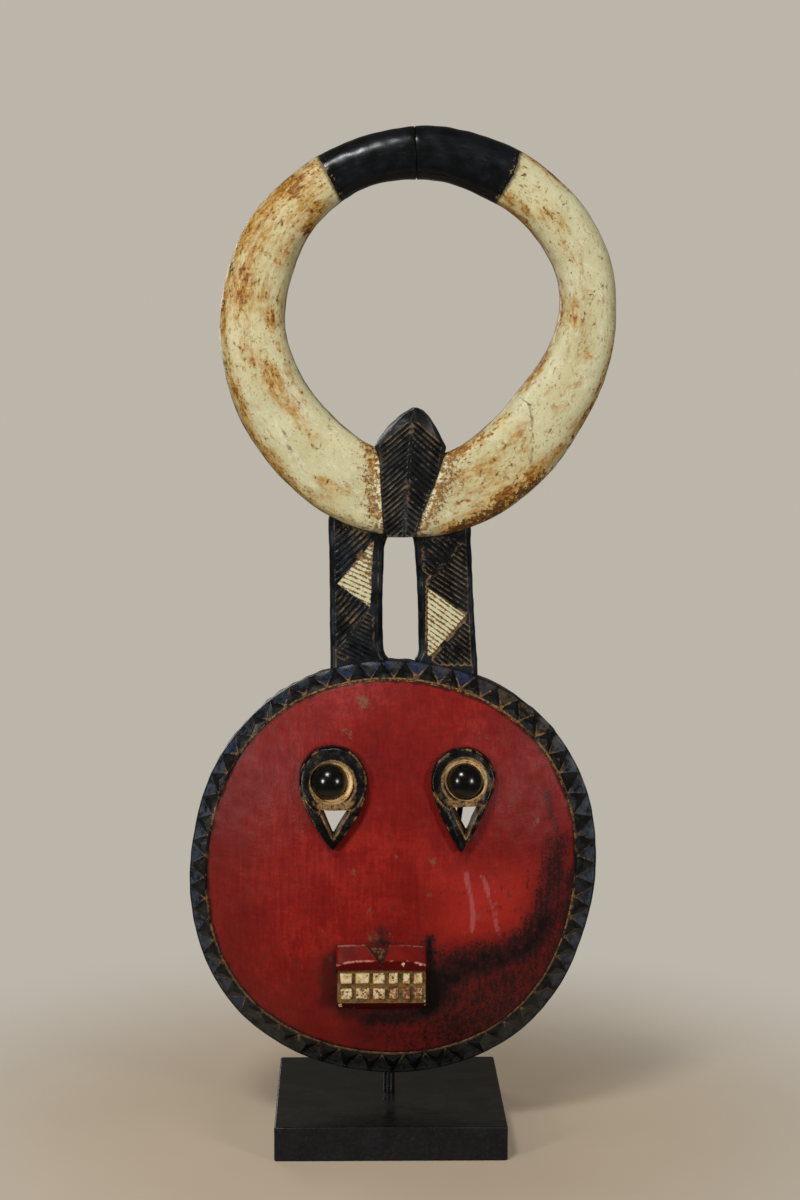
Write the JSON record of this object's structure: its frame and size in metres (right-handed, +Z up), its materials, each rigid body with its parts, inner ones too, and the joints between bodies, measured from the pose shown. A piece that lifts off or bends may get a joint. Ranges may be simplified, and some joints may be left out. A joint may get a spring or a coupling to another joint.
{
  "type": "horned disc mask on stand",
  "caption": "Round domed wooden mask with toothed rim, teardrop eyes and a ring of horns on two carved legs, held by a forked post on a square block.",
  "frame": {"origin": "centre of the underside of the stand's block", "axes": "+Z up, the face looks along -Y, +X to the right as seen from the front"},
  "size_m": [0.368, 0.2, 0.8789],
  "materials": {
    "painted_wood": "worn satin paint",
    "eye_gloss": "high gloss lacquer",
    "rod_paint": "satin black",
    "block_stone": "polished top, honed sides"
  },
  "bodies": {
    "root": {"mask": "painted_wood", "eye_left": "eye_gloss", "eye_right": "eye_gloss", "stand_rod": "rod_paint", "stand_base": "block_stone"}
  },
  "joints": []
}
